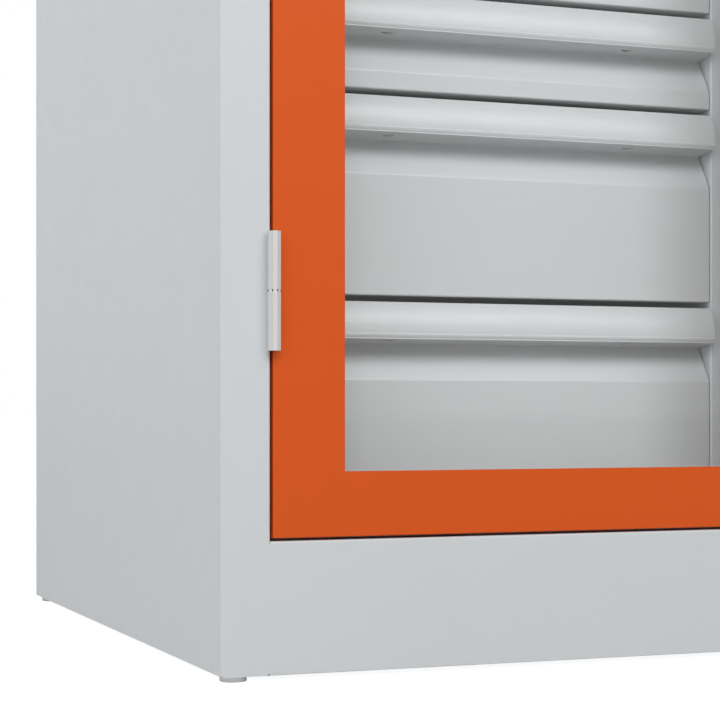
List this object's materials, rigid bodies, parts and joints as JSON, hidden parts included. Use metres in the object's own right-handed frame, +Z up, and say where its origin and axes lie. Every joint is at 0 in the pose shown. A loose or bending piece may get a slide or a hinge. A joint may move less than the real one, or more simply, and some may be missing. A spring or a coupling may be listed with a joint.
{
  "type": "storage cabinet",
  "caption": "Steel storage cabinet with a hinged window door, sliding drawers with full-width grip ledges, a shelf above them, a rod lock and levelling feet.",
  "frame": {"origin": "middle of the footprint, on the floor that the feet stand on", "axes": "+X to the right seen from the front, +Y from the front to the back, +Z up"},
  "size_m": [0.5, 0.6207, 1],
  "materials": {
    "carcass_paint": "fine-textured powder coat, light grey",
    "drawer_paint": "satin powder coat, light grey",
    "door_paint": "satin powder coat, orange",
    "hinge_paint": "satin, light grey",
    "clear_pane": "clear polycarbonate",
    "zinc": "zinc plated",
    "bright_steel": "bright turned steel",
    "chrome": "polished",
    "black_plastic": "matt black",
    "rubber": "soft black"
  },
  "bodies": {
    "cabinet": {"back_panel": "carcass_paint", "casing_left": "carcass_paint", "casing_right": "carcass_paint", "cover_shelf": "carcass_paint", "door_bumpers": "rubber", "floor_panel": "carcass_paint", "foot_brackets": "zinc", "hinge_lower_frame_knuckle": "hinge_paint", "hinge_lower_pin": "zinc", "hinge_lower_washer": "bright_steel", "hinge_upper_frame_knuckle": "hinge_paint", "hinge_upper_pin": "zinc", "hinge_upper_washer": "bright_steel", "plinth": "carcass_paint", "rod_keepers": "zinc", "shelf": "carcass_paint", "shelf_clips": "zinc", "side_left": "carcass_paint", "side_right": "carcass_paint", "slide_rails": "zinc", "top_panel": "carcass_paint", "upright_front_left": "carcass_paint", "upright_front_right": "carcass_paint", "upright_rear_left": "carcass_paint", "upright_rear_right": "carcass_paint"},
    "door": {"door_skin": "door_paint", "window_pane": "clear_pane", "window_retainer": "drawer_paint", "retainer_rivets": "zinc", "lock_rosette": "black_plastic", "lock_plate": "zinc", "rod_guides": "black_plastic", "hinge_lower_door_knuckle": "hinge_paint", "hinge_upper_door_knuckle": "hinge_paint"},
    "knob": {"knob": "black_plastic", "lock_cylinder": "chrome", "lock_cam": "zinc"},
    "upper_rod": {"rod_upper": "zinc"},
    "lower_rod": {"rod_lower": "zinc"},
    "foot_front_left": {"foot_front_left": "zinc"},
    "foot_front_right": {"foot_front_right": "zinc"},
    "foot_rear_left": {"foot_rear_left": "zinc"},
    "foot_rear_right": {"foot_rear_right": "zinc"},
    "drawer_1": {"drawer_1_front": "drawer_paint", "drawer_1_tray": "drawer_paint", "drawer_1_runners": "zinc"},
    "cages_1": {"drawer_1_cages": "zinc"},
    "drawer_2": {"drawer_2_front": "drawer_paint", "drawer_2_tray": "drawer_paint", "drawer_2_runners": "zinc"},
    "cages_2": {"drawer_2_cages": "zinc"},
    "drawer_3": {"drawer_3_front": "drawer_paint", "drawer_3_tray": "drawer_paint", "drawer_3_runners": "zinc"},
    "cages_3": {"drawer_3_cages": "zinc"},
    "drawer_4": {"drawer_4_front": "drawer_paint", "drawer_4_tray": "drawer_paint", "drawer_4_runners": "zinc"},
    "cages_4": {"drawer_4_cages": "zinc"}
  },
  "joints": [
    {"name": "door_hinge", "type": "hinge", "parent": "cabinet", "child": "door", "pos_m": [-0.214, -0.30475, 0.262], "axis": [0, 0, -1], "range_deg": [0, 180]},
    {"name": "knob_turn", "type": "hinge", "parent": "door", "child": "knob", "pos_m": [0.194, -0.3, 0.527], "axis": [0, -1, 0], "range_deg": [0, 90]},
    {"name": "upper_rod_slide", "type": "slide", "parent": "door", "child": "upper_rod", "axis": [0, 0, 1], "range_m": [0, 0.015]},
    {"name": "lower_rod_slide", "type": "slide", "parent": "door", "child": "lower_rod", "axis": [0, 0, -1], "range_m": [0, 0.015]},
    {"name": "drawer_1_slide", "type": "slide", "parent": "cabinet", "child": "drawer_1", "axis": [0, -1, 0], "range_m": [0, 0.333]},
    {"name": "cages_1_slide", "type": "slide", "parent": "cabinet", "child": "cages_1", "axis": [0, -1, 0], "range_m": [0, 0.1665]},
    {"name": "drawer_2_slide", "type": "slide", "parent": "cabinet", "child": "drawer_2", "axis": [0, -1, 0], "range_m": [0, 0.333]},
    {"name": "cages_2_slide", "type": "slide", "parent": "cabinet", "child": "cages_2", "axis": [0, -1, 0], "range_m": [0, 0.1665]},
    {"name": "drawer_3_slide", "type": "slide", "parent": "cabinet", "child": "drawer_3", "axis": [0, -1, 0], "range_m": [0, 0.333]},
    {"name": "cages_3_slide", "type": "slide", "parent": "cabinet", "child": "cages_3", "axis": [0, -1, 0], "range_m": [0, 0.1665]},
    {"name": "drawer_4_slide", "type": "slide", "parent": "cabinet", "child": "drawer_4", "axis": [0, -1, 0], "range_m": [0, 0.333]},
    {"name": "cages_4_slide", "type": "slide", "parent": "cabinet", "child": "cages_4", "axis": [0, -1, 0], "range_m": [0, 0.1665]},
    {"name": "foot_front_left_screw", "type": "slide", "parent": "cabinet", "child": "foot_front_left", "axis": [0, 0, -1], "range_m": [0, 0.015]},
    {"name": "foot_front_right_screw", "type": "slide", "parent": "cabinet", "child": "foot_front_right", "axis": [0, 0, -1], "range_m": [0, 0.015]},
    {"name": "foot_rear_left_screw", "type": "slide", "parent": "cabinet", "child": "foot_rear_left", "axis": [0, 0, -1], "range_m": [0, 0.015]},
    {"name": "foot_rear_right_screw", "type": "slide", "parent": "cabinet", "child": "foot_rear_right", "axis": [0, 0, -1], "range_m": [0, 0.015]}
  ],
  "couplings": [
    {"joint": "knob_turn", "follows": "upper_rod_slide", "rad_per_m": 104.72},
    {"joint": "lower_rod_slide", "follows": "upper_rod_slide", "ratio": 1},
    {"joint": "drawer_1_slide", "follows": "door_hinge", "m_per_rad": 0.1059},
    {"joint": "cages_1_slide", "follows": "door_hinge", "m_per_rad": 0.05295},
    {"joint": "drawer_2_slide", "follows": "door_hinge", "m_per_rad": 0.1059},
    {"joint": "cages_2_slide", "follows": "door_hinge", "m_per_rad": 0.05295},
    {"joint": "drawer_3_slide", "follows": "door_hinge", "m_per_rad": 0.1059},
    {"joint": "cages_3_slide", "follows": "door_hinge", "m_per_rad": 0.05295},
    {"joint": "drawer_4_slide", "follows": "door_hinge", "m_per_rad": 0.1059},
    {"joint": "cages_4_slide", "follows": "door_hinge", "m_per_rad": 0.05295}
  ]
}
